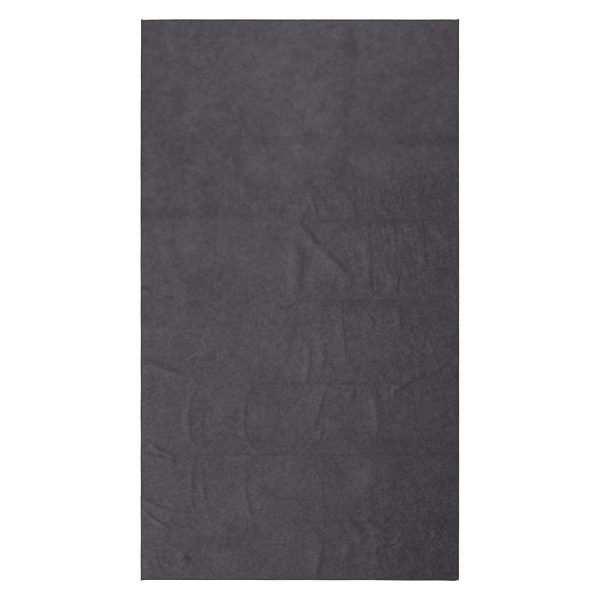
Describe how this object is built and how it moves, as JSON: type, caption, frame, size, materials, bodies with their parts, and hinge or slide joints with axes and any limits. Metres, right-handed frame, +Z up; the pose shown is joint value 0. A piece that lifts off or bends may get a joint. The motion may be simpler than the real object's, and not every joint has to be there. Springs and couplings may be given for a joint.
{
  "type": "quick dry towel",
  "caption": "Rectangular microfibre travel towel spread flat, with a short brushed nap, packing creases and an overlocked thread edge all round.",
  "frame": {"origin": "on the surface that the towel lies on, straight below the middle of the spread towel", "axes": "+Z up, out of the face that carries the needle stitches; +Y along the long side, from the foot edge to the head edge; +X across the width, from the left edge to the right edge as seen from above"},
  "size_m": [0.85, 1.5, 0.0016],
  "materials": {
    "microfibre": "charcoal knitted microfibre, short brushed nap with mottled nap direction, matt",
    "overlock_thread": "darker charcoal textured polyester overlock thread, matt"
  },
  "bodies": {
    "root": {"microfibre_panel": "microfibre", "left_edge_needle_thread": "overlock_thread", "left_edge_upper_looper_thread": "overlock_thread", "left_edge_lower_looper_thread": "overlock_thread", "foot_edge_needle_thread": "overlock_thread", "foot_edge_upper_looper_thread": "overlock_thread", "foot_edge_lower_looper_thread": "overlock_thread", "right_edge_needle_thread": "overlock_thread", "right_edge_upper_looper_thread": "overlock_thread", "right_edge_lower_looper_thread": "overlock_thread", "head_edge_needle_thread": "overlock_thread", "head_edge_upper_looper_thread": "overlock_thread", "head_edge_lower_looper_thread": "overlock_thread"}
  },
  "joints": []
}
